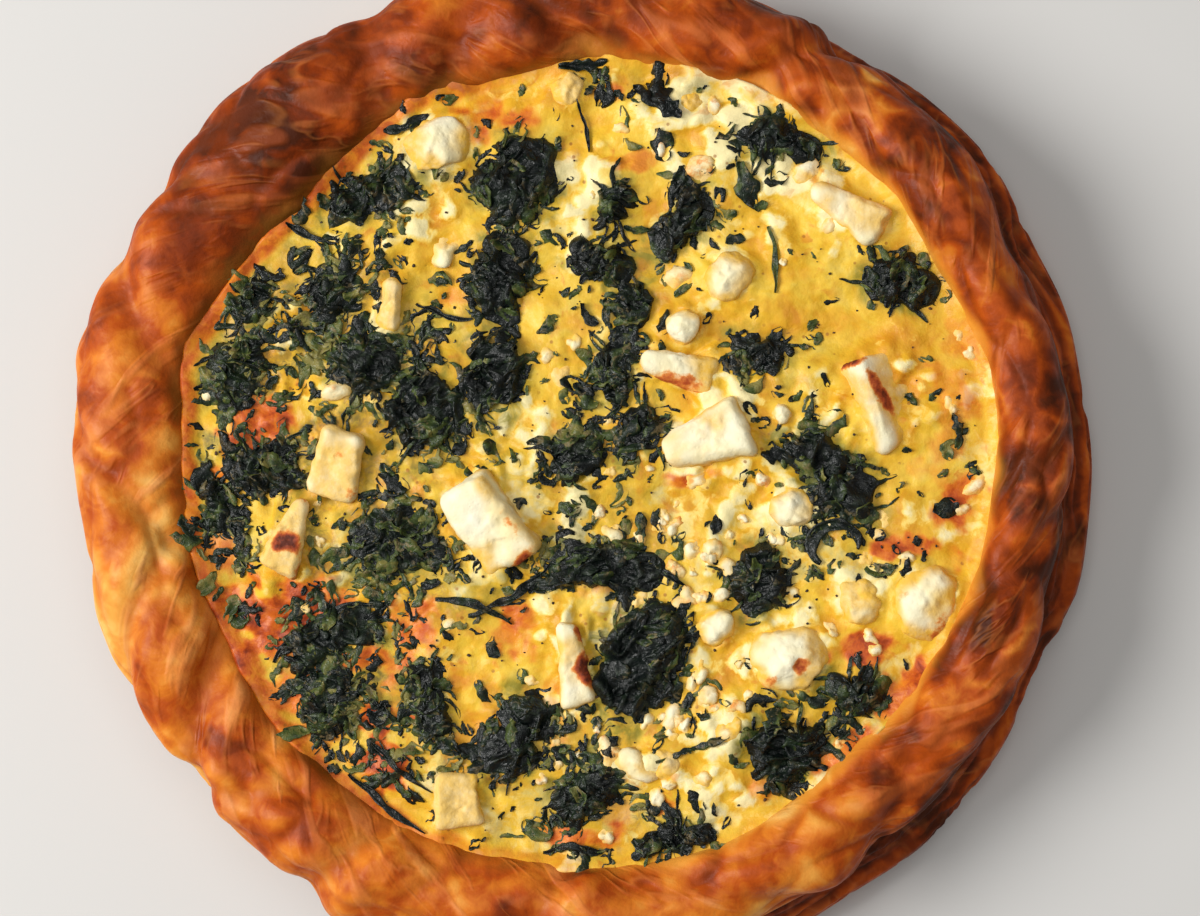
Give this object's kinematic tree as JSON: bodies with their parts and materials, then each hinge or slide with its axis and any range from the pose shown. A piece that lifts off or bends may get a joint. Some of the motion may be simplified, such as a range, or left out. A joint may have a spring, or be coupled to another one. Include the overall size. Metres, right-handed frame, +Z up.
{
  "type": "quiche",
  "caption": "Round puff pastry quiche, whole, with a hand-rolled golden rim round baked custard topped with spinach clumps and feta lumps.",
  "frame": {"origin": "middle of the outline on the surface that the flat base rests on", "axes": "+Z up through the middle of the quiche, +Y towards the part of the rim with the long straight lap seam on its right, +X towards the side where the rolled rim is narrowest"},
  "size_m": [0.2486, 0.2486, 0.0388],
  "materials": {
    "pastry": "baked, egg-glazed, satin",
    "custard": "baked egg, soft satin",
    "feta": "crumbly, matte",
    "spinach": "cooked, moist, slightly glossy"
  },
  "bodies": {
    "root": {"custard_filling": "custard", "feta_block_left": "feta", "feta_block_middle": "feta", "feta_block_top": "feta", "feta_burnt_middle": "feta", "feta_cube_low": "feta", "feta_cube_right": "feta", "feta_fan": "feta", "feta_lump_bright": "feta", "feta_lump_centre": "feta", "feta_lump_crumbly": "feta", "feta_lump_low": "feta", "feta_lump_low_middle": "feta", "feta_lump_low_right": "feta", "feta_lump_right": "feta", "feta_lump_round": "feta", "feta_lump_smooth": "feta", "feta_lump_top": "feta", "feta_lump_top_left": "feta", "feta_lump_top_right": "feta", "feta_sliver_left": "feta", "feta_wedge_left": "feta", "feta_wedge_upper": "feta", "pastry_crust": "pastry", "spinach_band_middle": "spinach", "spinach_bottom": "spinach", "spinach_centre": "spinach", "spinach_centre_left": "spinach", "spinach_centre_right": "spinach", "spinach_far_left": "spinach", "spinach_far_left_top": "spinach", "spinach_far_right_low": "spinach", "spinach_left": "spinach", "spinach_left_edge": "spinach", "spinach_left_fold": "spinach", "spinach_low": "spinach", "spinach_low_left": "spinach", "spinach_low_left_strip": "spinach", "spinach_low_left_top": "spinach", "spinach_low_right": "spinach", "spinach_low_strands": "spinach", "spinach_lower_left": "spinach", "spinach_lower_middle": "spinach", "spinach_mass_left": "spinach", "spinach_mass_low": "spinach", "spinach_mass_right": "spinach", "spinach_right_leaf": "spinach", "spinach_right_lower": "spinach", "spinach_right_mass": "spinach", "spinach_small_top": "spinach", "spinach_sprig": "spinach", "spinach_sprig_root": "spinach", "spinach_strand_upper": "spinach", "spinach_top_left": "spinach", "spinach_top_middle": "spinach", "spinach_top_right": "spinach", "spinach_upper_middle": "spinach", "spinach_upper_right": "spinach"}
  },
  "joints": []
}
